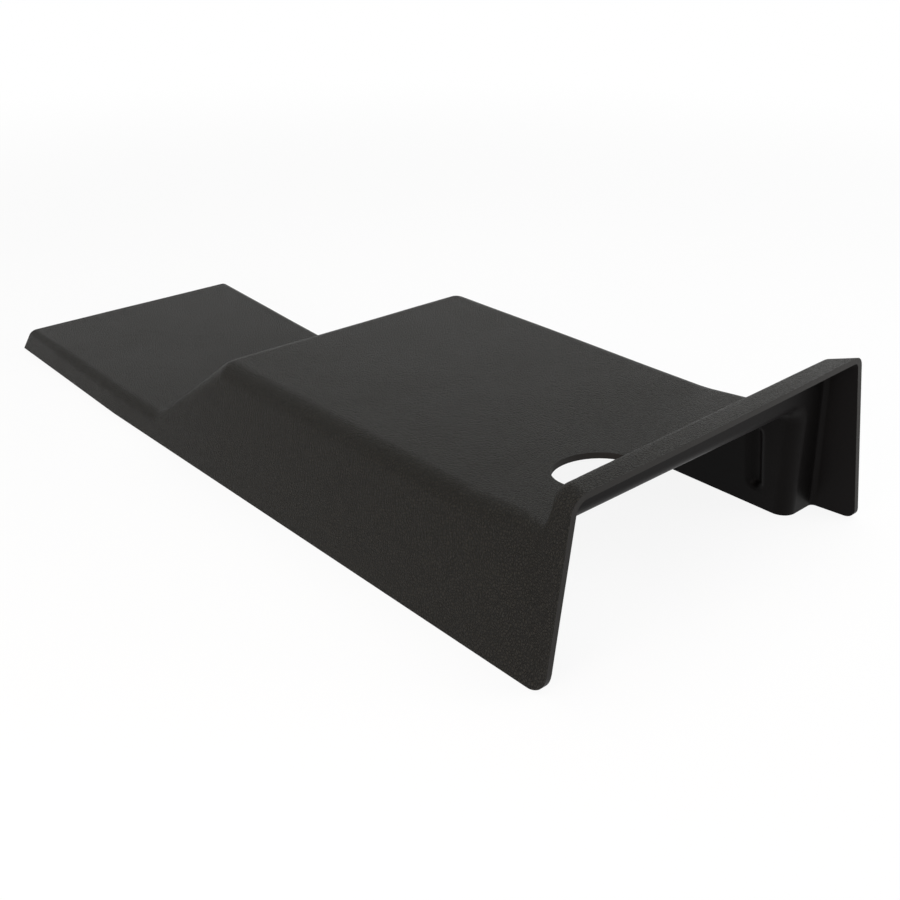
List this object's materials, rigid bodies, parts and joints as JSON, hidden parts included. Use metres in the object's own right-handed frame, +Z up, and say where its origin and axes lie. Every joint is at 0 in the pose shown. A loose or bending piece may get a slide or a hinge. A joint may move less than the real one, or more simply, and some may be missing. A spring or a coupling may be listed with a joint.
{
  "type": "ramp leveler",
  "caption": "One-piece thermoformed shell: a low tail, a ramp up to a raised deck with a round hole, and an open lip stepped up and out.",
  "frame": {"origin": "middle of the footprint's bounding box, on the ground that the bottom rim stands on", "axes": "+X from the low tail to the open lip end, +Y from the near wall to the far wall, +Z up"},
  "size_m": [0.776, 0.3472, 0.1468],
  "materials": {
    "textured_abs": "charcoal ABS sheet, satin, with a fine leather grain"
  },
  "bodies": {
    "root": {"moulded_shell": "textured_abs"}
  },
  "joints": []
}
